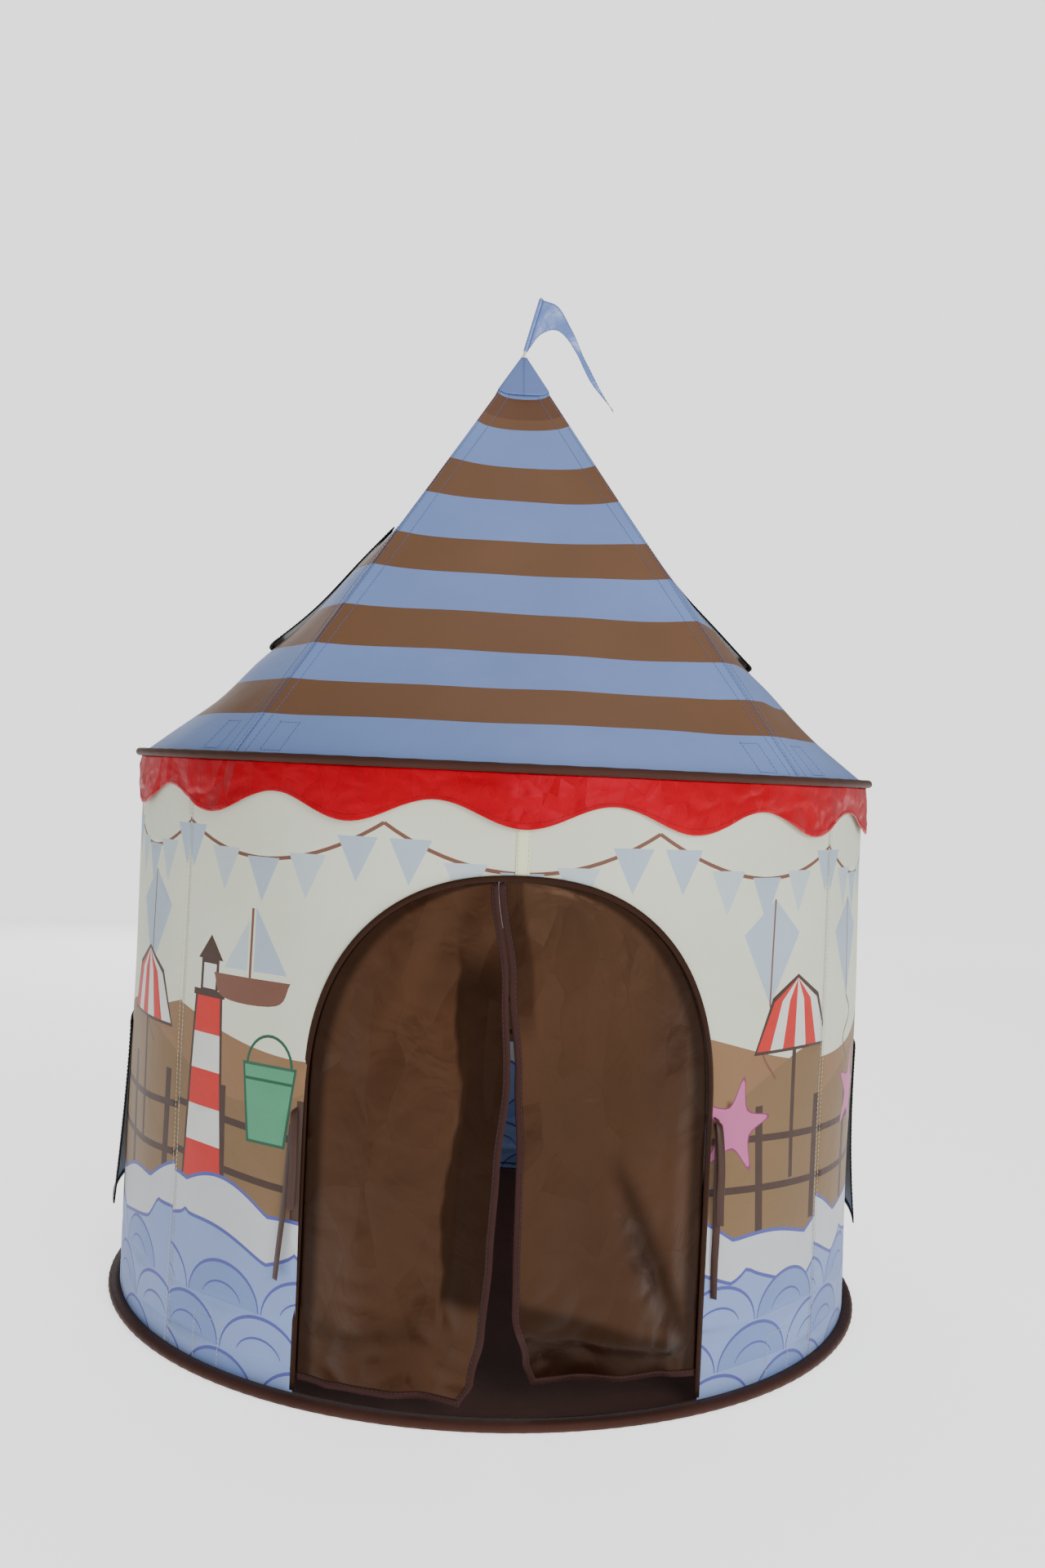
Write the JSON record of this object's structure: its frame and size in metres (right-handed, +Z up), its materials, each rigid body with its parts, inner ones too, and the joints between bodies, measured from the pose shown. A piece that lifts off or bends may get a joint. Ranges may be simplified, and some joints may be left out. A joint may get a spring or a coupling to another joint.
{
  "type": "kids play tent",
  "caption": "Round play tent with upright cloth walls, a pointed striped roof, a scalloped trim, an arched doorway with hanging flaps, netted side windows and a pennant.",
  "frame": {"origin": "middle of the floor, on the surface the tent stands on", "axes": "+Z up to the roof's tip; the doorway faces -Y; +X is to the right seen from in front"},
  "size_m": [1.064, 1.064, 1.4277],
  "materials": {
    "striped_roof_cloth": "woven polyester, semi-matt, blue with brown stripes",
    "printed_wall_cloth": "woven polyester, semi-matt, printed",
    "brown_door_satin": "satin, soft sheen",
    "brown_hem_cloth": "woven polyester, semi-matt",
    "red_valance_satin": "satin, soft sheen",
    "black_binding_tape": "woven tape, matt",
    "mauve_brown_binding_tape": "woven tape, semi-matt",
    "pale_seam_tape": "folded cloth tape, semi-matt",
    "pale_netting": "fine mesh, matt",
    "pale_flap_lining": "woven polyester, semi-matt",
    "blue_flag_satin": "satin, soft sheen",
    "brown_ribbon": "woven ribbon, semi-matt",
    "fibreglass_rod": "pultruded rod, satin",
    "steel_ferrule": "drawn tube",
    "black_plastic_fitting": "moulded, matt"
  },
  "bodies": {
    "tent": {"apex_cap": "striped_roof_cloth", "apex_hub": "black_plastic_fitting", "base_hem": "brown_hem_cloth", "base_hoop": "fibreglass_rod", "base_hoop_ferrule": "steel_ferrule", "corner_elbow_back_left": "black_plastic_fitting", "corner_elbow_back_right": "black_plastic_fitting", "corner_elbow_front_left": "black_plastic_fitting", "corner_elbow_front_right": "black_plastic_fitting", "door_arch_piping": "black_binding_tape", "door_tie_left_long": "brown_ribbon", "door_tie_left_short": "brown_ribbon", "door_tie_right_long": "brown_ribbon", "door_tie_right_short": "brown_ribbon", "door_top_tape": "pale_seam_tape", "eave_binding": "brown_hem_cloth", "eave_hoop": "fibreglass_rod", "eave_hoop_ferrule": "steel_ferrule", "floor_sheet": "brown_hem_cloth", "pole_foot_back_left": "black_plastic_fitting", "pole_foot_back_right": "black_plastic_fitting", "pole_foot_front_left": "black_plastic_fitting", "pole_foot_front_right": "black_plastic_fitting", "roof_panel_back": "striped_roof_cloth", "roof_panel_front": "striped_roof_cloth", "roof_panel_left": "striped_roof_cloth", "roof_panel_right": "striped_roof_cloth", "roof_pole_back_left": "fibreglass_rod", "roof_pole_back_right": "fibreglass_rod", "roof_pole_front_left": "fibreglass_rod", "roof_pole_front_right": "fibreglass_rod", "valance": "red_valance_satin", "vent_net_left": "pale_netting", "vent_net_right": "pale_netting", "wall_panel_back": "printed_wall_cloth", "wall_panel_front": "printed_wall_cloth", "wall_panel_left": "printed_wall_cloth", "wall_panel_right": "printed_wall_cloth", "wall_pole_back_left": "fibreglass_rod", "wall_pole_back_right": "fibreglass_rod", "wall_pole_front_left": "fibreglass_rod", "wall_pole_front_right": "fibreglass_rod", "window_net_left": "pale_netting", "window_net_right": "pale_netting"},
    "door_left": {"door_flap_left": "brown_door_satin", "door_flap_binding_left": "mauve_brown_binding_tape"},
    "door_right": {"door_flap_right": "brown_door_satin", "door_flap_binding_right": "mauve_brown_binding_tape"},
    "window_left": {"window_flap_left": "pale_flap_lining", "window_flap_left_binding": "black_binding_tape"},
    "window_right": {"window_flap_right": "pale_flap_lining", "window_flap_right_binding": "black_binding_tape"},
    "vent_left": {"vent_flap_left": "striped_roof_cloth", "vent_flap_left_binding": "black_binding_tape"},
    "vent_right": {"vent_flap_right": "striped_roof_cloth", "vent_flap_right_binding": "black_binding_tape"},
    "flag": {"flag_pole": "fibreglass_rod", "flag": "blue_flag_satin"}
  },
  "joints": [
    {"name": "door_left_swing", "type": "hinge", "parent": "tent", "child": "door_left", "pos_m": [-0.2306, -0.45825, 0.3], "axis": [0, 0, -1], "range_deg": [-75, 85]},
    {"name": "door_right_swing", "type": "hinge", "parent": "tent", "child": "door_right", "pos_m": [0.2306, -0.45825, 0.3], "axis": [0, 0, 1], "range_deg": [-75, 85]},
    {"name": "window_left_lift", "type": "hinge", "parent": "tent", "child": "window_left", "pos_m": [-0.5149, 0, 0.37], "axis": [0, 1, 0], "range_deg": [0, 150]},
    {"name": "window_right_lift", "type": "hinge", "parent": "tent", "child": "window_right", "pos_m": [0.5149, 0, 0.37], "axis": [0, -1, 0], "range_deg": [0, 150]},
    {"name": "vent_left_lift", "type": "hinge", "parent": "tent", "child": "vent_left", "pos_m": [-0.18264, 0, 1.06918], "axis": [0, 1, 0], "range_deg": [0, 120]},
    {"name": "vent_right_lift", "type": "hinge", "parent": "tent", "child": "vent_right", "pos_m": [0.18264, 0, 1.06918], "axis": [0, -1, 0], "range_deg": [0, 120]},
    {"name": "flag_spin", "type": "hinge", "parent": "tent", "child": "flag", "pos_m": [0, 0, 1.341], "axis": [0.2504, 0, 0.9681], "continuous": true}
  ]
}
